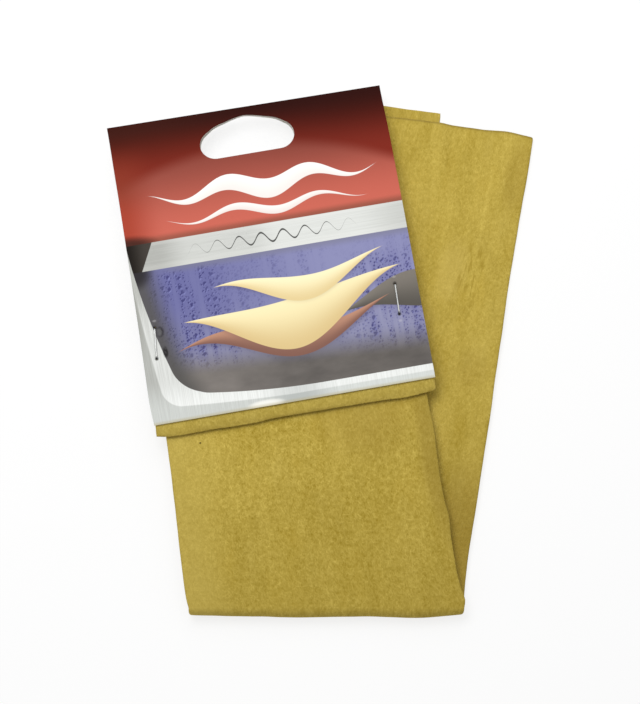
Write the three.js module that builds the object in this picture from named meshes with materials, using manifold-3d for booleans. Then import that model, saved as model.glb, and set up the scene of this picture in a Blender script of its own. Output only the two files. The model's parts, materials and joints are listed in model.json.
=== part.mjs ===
// Natural chamois skin, folded flat and stapled into a folded header card with a hang slot.
// Millimetres, +Z up. The bundle lies on its tail, the front leg and the card on top of it.
//
// The skin is one sheet. It is folded in three along its length, which gives a strip of three
// plies, and the strip is folded twice across: under the front leg at the bottom, and inside the
// card at the top. Every leather solid is the same three-ply section, carried along the strip.
import * as THREE from 'three';
import { mergeVertices } from 'three/addons/utils/BufferGeometryUtils.js';
import Module from 'manifold-3d';

const wasm = await Module();
wasm.setup();

// Leather
const leatherThickness = 0.9;
const plyGap = 0.3;
const rawEdgeStep = 0.8;
const bottomBendGap = 1.2;
const bottomBendSegments = 6;
const plyBendSegments = 4;
const plyInnerSegments = 2;

// Fit between separate pieces
const clearance = 0.3;
const cutOverrun = 5;

// Strip at the bottom fold, and the two legs that leave it
const foldWidth = 106.4;
const tailRightLength = 192;
const tailLean = THREE.MathUtils.degToRad(9.35);
const tailTopWidth = 88;
const tailTopSlope = THREE.MathUtils.degToRad(8.4);
const tailBackPlyProud = 4.8;
const tailMiddlePlyShort = 1.5;
const tailBackPlyCutback = 37.7;
const frontLegLength = 79.5;
const frontLegShift = -12.1;

// Header card
const cardWidth = 111;
const cardHeight = 122.5;
const cardTurn = THREE.MathUtils.degToRad(9.9);
const boardThickness = 0.45;
const creaseGap = 0.3;
const creaseSegments = 6;
const panelSlopeLength = 27;
const panelSlopeSegments = 8;
const leatherInset = 3;
const topFoldMargin = 1;
const topBendSegments = 4;

// Flap, the strip's end that comes down in front of the leg
const flapProud = 4.9;
const flapLeftProud = 0.3;
const flapRightInset = 1.3;
const flapPlyStep = 0.8;

// Hang slot, a long hole with a hump that centres it on a hook
const slotLength = 38.4;
const slotDepth = 20.4;
const slotEndRadius = 5.6;
const slotEndTurn = THREE.MathUtils.degToRad(55);
const slotHumpDepth = 3.8;
const slotHumpWidth = 10;
const slotHumpDrop = 0.5;
const slotArcSegments = 8;

// Staples
const stapleCrown = 12.7;
const stapleClinch = 3.6;
const wireWidth = 0.6;
const wireThickness = 0.5;
const wireChamfer = 0.12;
const wireBend = 1.1;
const wireSteps = 64;
const holeSides = 6;
const leftStapleInset = 5.4;
const leftStapleRise = 32;
const leftStapleTurn = THREE.MathUtils.degToRad(-5.3);
const rightStapleInset = 9.1;
const rightStapleRise = 33.3;
const rightStapleTurn = THREE.MathUtils.degToRad(-1.9);

// Shares of a leg's length, with the edge's offset as a share of the fold's width
const tailRightBowShares = [[0, 0], [0.1, -0.008], [0.35, -0.009], [0.6, -0.008], [0.8, -0.003], [1, 0]];
const frontLeftBowShares = [[0, 0], [0.3, 0.005], [0.6, 0.005], [1, 0]];
const frontRightBowShares = [
  [0, 0], [0.08, 0.004], [0.18, -0.0075], [0.3, -0.0075], [0.5, 0], [0.7, -0.003], [0.85, -0.003], [1, 0],
];

// Shares of the tail's length, with the share of the cutback that its back ply has there
const tailCutbackShares = [[0, 0], [0.55, 0], [0.7, 0.2], [0.85, 0.8], [0.95, 1], [1, 1]];

// Shares of the strip's width, with the share of the bend's full reach and of the flap's overhang
const bottomReachShares = [[0, 0.68], [0.06, 0.78], [0.2, 0.86], [0.5, 0.95], [0.8, 1], [0.94, 0.82], [1, 0.66]];
const flapEndShares = [[0, 0.7], [0.06, 1], [0.2, 1.04], [0.5, 0.95], [0.8, 1.06], [1, 0.86]];

// Where the rings of each stretch lie, as shares of its length, and the points across each ply
const tailRingShares = [1, 0.95, 0.85, 0.7, 0.55, 0.35, 0.2, 0.1, 0];
const frontRingShares = [0, 0.08, 0.18, 0.3, 0.5, 0.7, 0.85];
const hiddenRingShares = [0, 0.5, 1];
const flapRingShares = [0, 0.4, 0.8, 1];
const plyPointShares = [0.06, 0.2, 0.5, 0.8, 0.94];

// Heights of the stack, from the table up
const plyPitch = leatherThickness + plyGap;
const stripThickness = 2 * plyPitch + leatherThickness;
const clinchHeight = stripThickness + clearance + wireThickness / 2;
const backPanelBottom = clinchHeight + wireThickness / 2 + clearance;
const frontLegBottom = backPanelBottom + boardThickness + clearance;
const flapTop = frontLegBottom + 2 * stripThickness + plyGap;
const frontPanelBottom = flapTop + clearance;
const frontPanelTop = frontPanelBottom + boardThickness;
const crownHeight = frontPanelTop + clearance + wireThickness / 2;
const creaseHeight = (backPanelBottom + frontPanelTop) / 2;

// The bends across the strip
const bottomBendRadius = bottomBendGap / 2;
const bottomBendHeight = stripThickness + bottomBendRadius;
const topBendRadius = (flapTop - frontLegBottom) / 2;
const topBendHeight = (flapTop + frontLegBottom) / 2;
const topBendRise = cardHeight - panelSlopeLength - topFoldMargin - topBendRadius;

const leatherColour = 0xb8a24c;
const up = new THREE.Vector3(0, 0, 1);

// Reads a table of [place, value] pairs, straight between two of them.
function readTable(pairs, place) {
  let last = pairs[0];
  for (const next of pairs) {
    if (next[0] >= place) {
      const span = next[0] - last[0];
      return span > 0 ? last[1] + ((next[1] - last[1]) * (place - last[0])) / span : next[1];
    }
    last = next;
  }
  return last[1];
}

// A half turn of a bend, about a centre in the section plane, from one ply face to another.
function bendPoints(centreAcross, centreDepth, radius, outward, rising, segments) {
  const points = [];
  for (let step = 0; step <= segments; step += 1) {
    const turn = (-0.5 + step / segments) * Math.PI;
    const depth = rising ? Math.sin(turn) : -Math.sin(turn);
    points.push([centreAcross + outward * radius * Math.cos(turn), centreDepth + radius * depth]);
  }
  return points;
}

// Points between the two ends of a ply face.
function facePoints(from, to, depth) {
  return plyPointShares.map((share) => [from + (to - from) * share, depth]);
}

// Section of the strip folded in three, as points [across, depth]. Ply A is at depth 0 and has its
// cut edge on the left. A fold on the right joins it to the middle ply, and a fold on the left
// joins that to ply B, whose cut edge is on the right.
function stripSection(width, cutback) {
  const outer = (plyPitch + leatherThickness) / 2;
  const inner = (plyPitch - leatherThickness) / 2;
  const left = outer;
  const right = width - outer;
  const cutA = rawEdgeStep;
  const cutB = width - rawEdgeStep - cutback;
  const middleNear = plyPitch;
  const middleFar = plyPitch + leatherThickness;
  const backNear = 2 * plyPitch;
  const foldRight = outer;
  const foldLeft = plyPitch + outer;
  return [
    [cutA, 0],
    ...facePoints(cutA, right, 0),
    ...bendPoints(right, foldRight, outer, 1, true, plyBendSegments),
    ...facePoints(right, left, middleFar),
    ...bendPoints(left, foldLeft, inner, -1, true, plyInnerSegments),
    ...facePoints(left, cutB, backNear),
    [cutB, backNear],
    [cutB, stripThickness],
    ...facePoints(cutB, left, stripThickness),
    ...bendPoints(left, foldLeft, outer, -1, false, plyBendSegments),
    ...facePoints(left, right, middleNear),
    ...bendPoints(right, foldRight, inner, 1, false, plyInnerSegments),
    ...facePoints(right, cutA, leatherThickness),
    [cutA, leatherThickness],
  ];
}

// One ring of the strip: its flat section, and the same points in space.
function stripRing(width, cutback, place) {
  const section = stripSection(width, cutback);
  return { section, points: section.map(([across, depth]) => place(across, depth)) };
}

// A ring on a level stretch, between two plan points. The plies stack upwards or downwards from
// the base height, and each ply may be pushed along the strip.
function levelRing(left, right, base, stackUp, cutback = 0, push = () => 0) {
  const across = right.clone().sub(left);
  const width = across.length();
  across.normalize();
  const onward = new THREE.Vector2(-across.y, across.x);
  return stripRing(width, cutback, (a, depth) => {
    const end = push(a / width, depth);
    const x = left.x + across.x * a + onward.x * end;
    const y = left.y + across.y * a + onward.y * end;
    return new THREE.Vector3(x, y, base + stackUp * depth);
  });
}

// Closed solid through rings that hold the same number of points.
function loft(rings) {
  const count = rings[0].points.length;
  const positions = rings.flatMap((ring) => ring.points.flatMap((point) => point.toArray()));
  const index = [];
  for (let r = 0; r + 1 < rings.length; r += 1) {
    for (let k = 0; k < count; k += 1) {
      const here = r * count + k;
      const beside = r * count + ((k + 1) % count);
      index.push(here, here + count, beside + count);
      index.push(here, beside + count, beside);
    }
  }
  const cap = (ring) => {
    const outline = ring.section.map(([across, depth]) => new THREE.Vector2(across, depth));
    return THREE.ShapeUtils.triangulateShape(outline, []);
  };
  const lastStart = (rings.length - 1) * count;
  for (const [a, b, c] of cap(rings[0])) {
    index.push(a, b, c);
  }
  for (const [a, b, c] of cap(rings[rings.length - 1])) {
    index.push(lastStart + c, lastStart + b, lastStart + a);
  }
  const geometry = new THREE.BufferGeometry();
  geometry.setAttribute('position', new THREE.Float32BufferAttribute(positions, 3));
  geometry.setIndex(index);
  return geometry;
}

function toSolid(geometry) {
  const bare = geometry.clone();
  bare.deleteAttribute('normal');
  bare.deleteAttribute('uv');
  const merged = mergeVertices(bare);
  const vertProperties = new Float32Array(merged.attributes.position.array);
  const triVerts = new Uint32Array(merged.index.array);
  return new wasm.Manifold(new wasm.Mesh({ numProp: 3, vertProperties, triVerts }));
}

function toGeometry(solid) {
  const mesh = solid.getMesh();
  const geometry = new THREE.BufferGeometry();
  geometry.setAttribute('position', new THREE.BufferAttribute(mesh.vertProperties, 3));
  geometry.setIndex(new THREE.BufferAttribute(mesh.triVerts, 1));
  return geometry;
}

function cut(geometry, tools) {
  const solid = tools.reduce((rest, tool) => rest.subtract(toSolid(tool)), toSolid(geometry));
  return toGeometry(solid);
}

function piece(name, geometry, colour, roughness, metalness = 0) {
  const flat = geometry.index ? geometry.toNonIndexed() : geometry;
  flat.computeVertexNormals();
  const material = new THREE.MeshStandardMaterial({ color: colour, roughness, metalness });
  const mesh = new THREE.Mesh(flat, material);
  mesh.name = name;
  return mesh;
}

// Plan of the strip. The bottom fold lies along X, and its middle is the plan's zero point.
const foldLeftEnd = new THREE.Vector2(-foldWidth / 2, 0);
const foldRightEnd = new THREE.Vector2(foldWidth / 2, 0);
const tailTopRight = foldRightEnd.clone().add(
  new THREE.Vector2(Math.sin(tailLean), Math.cos(tailLean)).multiplyScalar(tailRightLength),
);
const tailTopLeft = tailTopRight.clone().add(
  new THREE.Vector2(-Math.cos(tailTopSlope), Math.sin(tailTopSlope)).multiplyScalar(tailTopWidth),
);
const cardPlace = new THREE.Matrix4()
  .makeRotationZ(cardTurn)
  .setPosition(frontLegShift, frontLegLength, 0);

// A plan point on the card: across from its middle line and up from its lower edge.
function onCard(across, rise) {
  const point = new THREE.Vector3(across, rise, 0).applyMatrix4(cardPlace);
  return new THREE.Vector2(point.x, point.y);
}

// A point of a leg's edge, bowed sideways from the straight line between its ends.
function edgePoint(from, to, share, bowShares) {
  const point = from.clone().lerp(to, share);
  point.x += foldWidth * readTable(bowShares, share);
  return point;
}

function clearOfFold(point) {
  return new THREE.Vector2(point.x, Math.max(point.y, clearance));
}

// The tail, from its cut end down to the bottom fold. Ply A is on top.
function skinTail() {
  const straight = [[0, 0]];
  const plyEnds = [
    [leatherThickness, 0],
    [plyPitch + leatherThickness / 2, -tailMiddlePlyShort],
    [2 * plyPitch, tailBackPlyProud],
  ];
  const rings = tailRingShares.map((share) => {
    const left = clearOfFold(edgePoint(foldLeftEnd, tailTopLeft, share, straight));
    const right = clearOfFold(edgePoint(foldRightEnd, tailTopRight, share, tailRightBowShares));
    const cutback = tailBackPlyCutback * readTable(tailCutbackShares, share);
    const push = share < 1 ? () => 0 : (across, depth) => readTable(plyEnds, depth);
    return levelRing(left, right, stripThickness, -1, cutback, push);
  });
  return loft(rings);
}

// The bend that joins the tail to the front leg, narrower in reach towards both ends.
function skinBottomFold() {
  const rings = [];
  for (let step = 0; step <= bottomBendSegments; step += 1) {
    const turn = (-0.5 + step / bottomBendSegments) * Math.PI;
    rings.push(stripRing(foldWidth, 0, (across, depth) => {
      const radius = bottomBendRadius + depth;
      const reach = radius * Math.cos(turn) * readTable(bottomReachShares, across / foldWidth);
      const height = bottomBendHeight + radius * Math.sin(turn);
      return new THREE.Vector3(foldLeftEnd.x + across, -reach, height);
    }));
  }
  return loft(rings);
}

// The front leg, the top fold inside the card, and the flap that comes down over the leg.
function skinFront() {
  const cardLeft = -cardWidth / 2 + leatherInset;
  const cardRight = cardWidth / 2 - leatherInset;
  const rings = [];
  const legStart = stripThickness + bottomBendGap;
  const lastShare = frontRingShares[frontRingShares.length - 1];
  for (const share of frontRingShares) {
    const left = clearOfFold(edgePoint(foldLeftEnd, onCard(cardLeft, 0), share, frontLeftBowShares));
    const right = clearOfFold(edgePoint(foldRightEnd, onCard(cardRight, 0), share, frontRightBowShares));
    const base = THREE.MathUtils.lerp(legStart, frontLegBottom, share / lastShare);
    rings.push(levelRing(left, right, base, 1));
  }
  for (const share of hiddenRingShares) {
    const rise = topBendRise * share;
    rings.push(levelRing(onCard(cardLeft, rise), onCard(cardRight, rise), frontLegBottom, 1));
  }
  const start = onCard(cardLeft, topBendRise);
  const end = onCard(cardRight, topBendRise);
  const across = end.clone().sub(start).normalize();
  for (let step = 1; step < topBendSegments; step += 1) {
    const turn = (-0.5 + step / topBendSegments) * Math.PI;
    rings.push(stripRing(cardRight - cardLeft, 0, (a, depth) => {
      const radius = topBendRadius - depth;
      const reach = radius * Math.cos(turn);
      const x = start.x + across.x * a - across.y * reach;
      const y = start.y + across.y * a + across.x * reach;
      return new THREE.Vector3(x, y, topBendHeight + radius * Math.sin(turn));
    }));
  }
  const flapEnd = -flapProud;
  for (const share of flapRingShares) {
    const rise = THREE.MathUtils.lerp(topBendRise, flapEnd, share);
    const leftEdge = THREE.MathUtils.lerp(cardLeft, -cardWidth / 2 - flapLeftProud, share);
    const rightEdge = THREE.MathUtils.lerp(cardRight, cardWidth / 2 - flapRightInset, share);
    const push = share < 1 ? () => 0 : (place, depth) => {
      const overhang = flapProud * (1 - readTable(flapEndShares, place));
      return overhang + flapPlyStep * depth / plyPitch;
    };
    rings.push(levelRing(onCard(leftEdge, rise), onCard(rightEdge, rise), flapTop, -1, 0, push));
  }
  return cut(loft(rings), stapleHoles());
}

// The card's side profile: two panels that part from the crease and run level over the leather.
function headerProfile() {
  const creaseOuter = creaseGap / 2 + boardThickness;
  const creaseRise = cardHeight - creaseOuter;
  const front = [];
  const back = [];
  for (let step = 0; step <= panelSlopeSegments; step += 1) {
    const share = step / panelSlopeSegments;
    const rise = creaseRise - (panelSlopeLength - creaseOuter) * share;
    const open = THREE.MathUtils.smoothstep(share, 0, 1);
    front.push([rise, THREE.MathUtils.lerp(creaseHeight + creaseGap / 2, frontPanelBottom, open)]);
    back.push([rise, THREE.MathUtils.lerp(creaseHeight - creaseGap / 2, backPanelBottom + boardThickness, open)]);
  }
  front.push([0, frontPanelBottom]);
  back.push([0, backPanelBottom + boardThickness]);
  const shape = new THREE.Shape();
  const draw = (points) => points.forEach(([rise, height]) => shape.lineTo(rise, height));
  const shift = (points, height) => points.map(([rise, level]) => [rise, level + height]);
  shape.moveTo(0, backPanelBottom);
  draw(shift(back, -boardThickness).reverse().slice(1));
  shape.absarc(creaseRise, creaseHeight, creaseOuter, -Math.PI / 2, Math.PI / 2, false);
  draw(shift(front, boardThickness).slice(1));
  draw(front.slice().reverse());
  shape.absarc(creaseRise, creaseHeight, creaseGap / 2, Math.PI / 2, -Math.PI / 2, true);
  draw(back.slice(1));
  return shape;
}

function slotOutline() {
  const endX = slotLength / 2 - slotEndRadius;
  const bottom = cardHeight - slotDepth;
  const centre = bottom + slotEndRadius;
  const humpEdge = cardHeight - slotHumpDepth - slotHumpDrop;
  const humpTop = cardHeight - slotHumpDepth + slotHumpDrop;
  const shape = new THREE.Shape();
  shape.moveTo(-endX, bottom);
  shape.lineTo(endX, bottom);
  shape.absarc(endX, centre, slotEndRadius, -Math.PI / 2, slotEndTurn, false);
  shape.lineTo(slotHumpWidth / 2, humpEdge);
  shape.quadraticCurveTo(0, humpTop, -slotHumpWidth / 2, humpEdge);
  shape.absarc(-endX, centre, slotEndRadius, Math.PI - slotEndTurn, 1.5 * Math.PI, false);
  return shape;
}

function headerCard() {
  const folded = new THREE.ExtrudeGeometry(headerProfile(), {
    depth: cardWidth,
    bevelEnabled: false,
    curveSegments: creaseSegments,
  });
  const alongY = new THREE.Vector3(0, 1, 0);
  const alongX = new THREE.Vector3(1, 0, 0);
  folded.applyMatrix4(new THREE.Matrix4().makeBasis(alongY, up, alongX));
  folded.translate(-cardWidth / 2, 0, 0);
  const slot = new THREE.ExtrudeGeometry(slotOutline(), {
    depth: frontPanelTop + cutOverrun,
    bevelEnabled: false,
    curveSegments: slotArcSegments,
  });
  const toCard = cardPlace.clone().invert();
  const holes = stapleHoles().map((hole) => hole.applyMatrix4(toCard));
  return cut(folded, [slot, ...holes]);
}

const staples = [
  {
    name: 'staple_left',
    across: -cardWidth / 2 + leftStapleInset,
    rise: leftStapleRise,
    turn: leftStapleTurn,
  },
  {
    name: 'staple_right',
    across: cardWidth / 2 - rightStapleInset,
    rise: rightStapleRise,
    turn: rightStapleTurn,
  },
];
const legOffset = (stapleCrown - wireThickness) / 2;

// Round holes for the staples' legs, through everything that they hold.
function stapleHoles() {
  const height = crownHeight + 2 * cutOverrun;
  const radius = Math.hypot(wireWidth, wireThickness) / 2 + clearance;
  const holes = [];
  for (const staple of staples) {
    for (const side of [-1, 1]) {
      const hole = new THREE.CylinderGeometry(radius, radius, height, holeSides);
      hole.rotateX(Math.PI / 2);
      hole.translate(0, side * legOffset, crownHeight / 2);
      hole.rotateZ(staple.turn);
      hole.translate(staple.across, staple.rise, 0);
      holes.push(hole.applyMatrix4(cardPlace));
    }
  }
  return holes;
}

// Round the corner between two straight stretches of wire.
function bentWire(corners) {
  const path = new THREE.CurvePath();
  let from = corners[0];
  for (let k = 1; k + 1 < corners.length; k += 1) {
    const before = corners[k - 1].clone().sub(corners[k]).setLength(wireBend).add(corners[k]);
    const after = corners[k + 1].clone().sub(corners[k]).setLength(wireBend).add(corners[k]);
    path.add(new THREE.LineCurve3(from, before));
    path.add(new THREE.QuadraticBezierCurve3(before, corners[k], after));
    from = after;
  }
  path.add(new THREE.LineCurve3(from, corners[corners.length - 1]));
  return path;
}

// A staple of flat wire: crown on the card, legs through the stack, ends clinched under the back.
function stapleWire() {
  const tip = legOffset - stapleClinch;
  const path = bentWire([
    new THREE.Vector3(0, -tip, clinchHeight),
    new THREE.Vector3(0, -legOffset, clinchHeight),
    new THREE.Vector3(0, -legOffset, crownHeight),
    new THREE.Vector3(0, legOffset, crownHeight),
    new THREE.Vector3(0, legOffset, clinchHeight),
    new THREE.Vector3(0, tip, clinchHeight),
  ]);
  const halfThickness = wireThickness / 2;
  const halfWidth = wireWidth / 2;

  // A section's first axis lies in the plane of its path, so the thickness comes first.
  const section = new THREE.Shape();
  section.moveTo(-halfThickness + wireChamfer, -halfWidth);
  section.lineTo(halfThickness - wireChamfer, -halfWidth);
  section.lineTo(halfThickness, -halfWidth + wireChamfer);
  section.lineTo(halfThickness, halfWidth - wireChamfer);
  section.lineTo(halfThickness - wireChamfer, halfWidth);
  section.lineTo(-halfThickness + wireChamfer, halfWidth);
  section.lineTo(-halfThickness, halfWidth - wireChamfer);
  section.lineTo(-halfThickness, -halfWidth + wireChamfer);
  return new THREE.ExtrudeGeometry(section, { steps: wireSteps, extrudePath: path });
}

const group = new THREE.Group();
group.add(piece('skin_tail', skinTail(), leatherColour, 0.95));
group.add(piece('skin_bottom_fold', skinBottomFold(), leatherColour, 0.95));
group.add(piece('skin_front', skinFront(), leatherColour, 0.95));

const header = new THREE.Group();
header.applyMatrix4(cardPlace);
header.add(piece('header_card', headerCard(), 0x8a2a20, 0.35));
for (const staple of staples) {
  const wire = piece(staple.name, stapleWire(), 0xc9cbcd, 0.3, 1);
  wire.position.set(staple.across, staple.rise, 0);
  wire.rotation.z = staple.turn;
  header.add(wire);
}
group.add(header);

// The origin is under the middle of the whole bundle.
group.updateMatrixWorld(true);
const bounds = new THREE.Box3().setFromObject(group, true);
const middle = bounds.getCenter(new THREE.Vector3());
group.position.set(-middle.x, -middle.y, -bounds.min.z);

export default group;
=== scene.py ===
"""A natural chamois skin, folded flat and stapled into a printed header card with a hang slot.

Everything is in metres, +Z up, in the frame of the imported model. The bundle lies on its tail.
"""
import json
import math
from collections import namedtuple

import bmesh
import bpy
from mathutils import Matrix, Vector, noise


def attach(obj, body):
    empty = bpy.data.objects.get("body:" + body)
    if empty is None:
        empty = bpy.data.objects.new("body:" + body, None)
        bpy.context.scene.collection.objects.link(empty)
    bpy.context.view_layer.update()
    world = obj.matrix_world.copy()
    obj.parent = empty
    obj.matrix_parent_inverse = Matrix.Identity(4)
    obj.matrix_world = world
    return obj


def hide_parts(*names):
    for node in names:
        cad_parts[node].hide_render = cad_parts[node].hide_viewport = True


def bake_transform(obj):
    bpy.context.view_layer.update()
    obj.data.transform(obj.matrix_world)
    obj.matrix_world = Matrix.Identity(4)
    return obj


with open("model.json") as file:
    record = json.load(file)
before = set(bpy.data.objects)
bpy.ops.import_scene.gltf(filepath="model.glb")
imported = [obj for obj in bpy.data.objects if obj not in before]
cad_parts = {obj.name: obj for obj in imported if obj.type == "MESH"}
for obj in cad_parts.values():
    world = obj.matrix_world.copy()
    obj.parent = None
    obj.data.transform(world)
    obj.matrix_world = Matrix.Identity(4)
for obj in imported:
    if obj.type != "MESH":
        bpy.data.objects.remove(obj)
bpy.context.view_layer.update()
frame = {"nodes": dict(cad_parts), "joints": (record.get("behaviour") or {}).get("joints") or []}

# The bottom fold: the middle of its line, at the height of its hinge
FOLD = Vector(frame["joints"][0]["pos_m"])

# Leather
LEATHER_THICKNESS = 0.0009
PLY_GAP = 0.0003
RAW_EDGE_STEP = 0.0008
LEG_RAW_EDGE_STEP = 0.0001
BOTTOM_BEND_GAP = 0.0012

# Strip at the bottom fold, and the two legs that leave it
FOLD_WIDTH = 0.1064
TAIL_RIGHT_LENGTH = 0.192
TAIL_LEAN = math.radians(9.35)
TAIL_TOP_WIDTH = 0.088
TAIL_TOP_SLOPE = math.radians(8.4)
TAIL_BACK_PLY_PROUD = 0.0048
TAIL_MIDDLE_PLY_SHORT = 0.0015
TAIL_BACK_PLY_CUTBACK = 0.0377
FRONT_LEG_LENGTH = 0.0795
FRONT_LEG_SHIFT = -0.0121

# Header card
CARD_WIDTH = 0.111
CARD_HEIGHT = 0.1225
CARD_TURN = math.radians(9.9)
BOARD_THICKNESS = 0.00045
CREASE_GAP = 0.0003
PANEL_SLOPE_LENGTH = 0.027
LEATHER_INSET = 0.003
TOP_FOLD_MARGIN = 0.001
BACK_PANEL_BOTTOM = 0.0044
PANEL_CLEARANCE = 0.0003
BACK_PANEL_SHORT = 0.0016

# The card isn't cut quite square: its crease runs askew, and its left side bows out. Shares of the
# card's height, with how far the side lies out there
CREASE_RAISE = 0.0002
CREASE_SKEW = 0.0097
CARD_LEFT_BOW = (
    (0, 0.0002), (0.06, 0.0007), (0.115, 0.00068), (0.2, 0.0005), (0.35, 0.0003), (0.6, 0.00016),
    (0.76, 0.00012), (0.9, 0.00036), (1, 0.0006),
)

# Flap, the strip's end that comes down in front of the leg
FLAP_PROUD = 0.0049
FLAP_LEFT_PROUD = 0.0001
FLAP_RIGHT_INSET = 0.0002
FLAP_RAW_EDGE_STEP = -0.0001

# The flap's end hangs down in front of the leg, over its lower plies, which end higher up
FLAP_MIDDLE_PLY_SHORT = 0.0010
FLAP_BACK_PLY_SHORT = 0.0040
FLAP_DROOP = 0.0012
FLAP_DROOP_REACH = 0.0046
FLAP_LIP_DROP = 0.0005
FLAP_LIP_REACH = 0.0016
FLAP_WAVE = 0.0001

# Hang slot: its foot below the crease, and its upper side as distances from its middle and depths
SLOT_MIDDLE = -0.0011
SLOT_LENGTH = 0.0382
SLOT_DEPTH = 0.0206
SLOT_END_RADIUS = 0.0063
SLOT_END_TURN = math.radians(60)
SLOT_UPPER_SIDE = (
    (0.0144, 0.0078), (0.0130, 0.0069), (0.0115, 0.0063), (0.0100, 0.0058), (0.0080, 0.0053),
    (0.0060, 0.0047), (0.0040, 0.0042), (0.0020, 0.0038), (0.0006, 0.0036),
)

# Staples: distances from the middle to a leg and to its hole, and each one's place and turn
WIRE_THICKNESS = 0.0005
STAPLE_LEG_OFFSET = 0.0061
STAPLE_HOLE_OFFSET = 0.0062
STAPLE_HOLE_RADIUS = 0.0004
STAPLES = (
    (-0.0501, 0.0320, math.radians(-5.3)),
    (0.0464, 0.0333, math.radians(-1.9)),
)

# Shares of a leg's length, with the edge's offset as a share of the fold's width
TAIL_RIGHT_BOW_SHARES = (
    (0, 0), (0.04, -0.0055), (0.1, -0.0092), (0.3, -0.0067), (0.48, -0.007), (0.62, -0.0087),
    (0.76, -0.0062), (0.94, 0.002), (1, 0.0015),
)
FRONT_LEFT_BOW_SHARES = (
    (0, 0), (0.05, -0.0045), (0.13, -0.005), (0.25, -0.0038), (0.4, -0.0012), (0.6, 0.0007),
    (0.72, 0.0029), (0.85, 0.0028), (0.95, 0.0025), (1, 0),
)
FRONT_RIGHT_BOW_SHARES = (
    (0, 0), (0.035, 0.008), (0.1, -0.002), (0.17, -0.0055), (0.3, -0.0055), (0.36, -0.0015),
    (0.41, -0.0018), (0.46, -0.0065), (0.58, -0.0095), (0.7, -0.006), (0.79, -0.0035),
    (0.92, -0.0075), (1, 0),
)

# Shares of the tail's length, with the share of the cutback that its back ply has there
TAIL_CUTBACK_SHARES = ((0, 0), (0.55, 0), (0.7, 0.2), (0.85, 0.8), (0.94, 0.965), (1, 1.01))

# Shares of the strip's width, with the share of the bend's full reach, the share of the flap's
# overhang, and the rise of the tail's cut end as a share of the leather's thickness
BOTTOM_REACH_SHARES = (
    (0, 0.66), (0.03, 0.72), (0.25, 0.85), (0.42, 0.92), (0.6, 0.86), (0.72, 0.87), (0.8, 1),
    (0.87, 0.98), (0.94, 0.75), (1, 0.6),
)
FLAP_END_SHARES = (
    (0, 0.82), (0.04, 0.99), (0.085, 1.05), (0.2, 1.03), (0.33, 1.09), (0.42, 0.98),
    (0.6, 1), (0.8, 1.05), (0.9, 1.13), (0.97, 1), (1, 0.95),
)
TAIL_END_WAVE_SHARES = (
    (0, 0), (0.34, 0), (0.45, 0.3), (0.57, 0.5), (0.68, 0.5), (0.78, 0.5), (0.87, 1.1), (0.95, 0.6),
    (1, 0),
)

# Heights of the stack, from the table up, and the depths below the crown where painted shade darkens its
# wire
PLY_PITCH = LEATHER_THICKNESS + PLY_GAP
STRIP_THICKNESS = 2 * PLY_PITCH + LEATHER_THICKNESS
LEG_START = STRIP_THICKNESS + BOTTOM_BEND_GAP
FRONT_LEG_BOTTOM = BACK_PANEL_BOTTOM + BOARD_THICKNESS + PANEL_CLEARANCE
FLAP_TOP = FRONT_LEG_BOTTOM + 2 * STRIP_THICKNESS + PLY_GAP
FRONT_PANEL_BOTTOM = FLAP_TOP + PANEL_CLEARANCE
FRONT_PANEL_TOP = FRONT_PANEL_BOTTOM + BOARD_THICKNESS
CREASE_HEIGHT = (BACK_PANEL_BOTTOM + FRONT_PANEL_TOP) / 2
CROWN_TOP = FRONT_PANEL_TOP + PANEL_CLEARANCE + WIRE_THICKNESS
WIRE_UNSHADED_DEPTH = 0.00007
WIRE_SHADE_DEPTH = 0.00024

# The folds' own radii, at the middle of the leather or the board
PLY_FOLD_RADIUS = PLY_PITCH / 2
BOTTOM_BEND_RADIUS = BOTTOM_BEND_GAP / 2
TOP_BEND_RADIUS = (FLAP_TOP - FRONT_LEG_BOTTOM) / 2
TOP_BEND_HEIGHT = (FLAP_TOP + FRONT_LEG_BOTTOM) / 2
TOP_BEND_RISE = CARD_HEIGHT - PANEL_SLOPE_LENGTH - TOP_FOLD_MARGIN - TOP_BEND_RADIUS
CREASE_RADIUS = (CREASE_GAP + BOARD_THICKNESS) / 2
CREASE_RISE = CARD_HEIGHT - CREASE_GAP / 2 - BOARD_THICKNESS
SLOPE_START = CARD_HEIGHT - PANEL_SLOPE_LENGTH

# How the skin lies: its waves, lumps and soft edges
TAIL_DROP = 0.00055
LEG_LIFT = 0.00030
LUMP_HEIGHT = 0.00006
LUMP_LENGTH = 0.0042
EDGE_WANDER = 0.00014
CUT_WANDER = 0.00012
SAG_LENGTH = 0.006
EDGE_TAPER = 0.0011
CUT_EDGE_SHARE = 0.42
SKIN_UV_SIZE = 0.5

# Places on the flat skin, across and along: the bottom fold, with painted shade near it, the paler left
# fold of the leg and the flap, and the corner of the tail's end, where painted shade lines its cut edge
BOTTOM_FOLD_ALONG = 0.196
BOTTOM_FOLD_REACH = 0.085
FRONT_BLEND = 0.01
PALE_ACROSS = 0.2118
PALE_REACH = 0.026
FLAP_ALONG = 0.440
FLAP_BLEND = 0.02
SHADED_RIM_ACROSS = (0.11, 0.13)
SHADED_RIM_ALONG = (0.004, 0.012)
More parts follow.
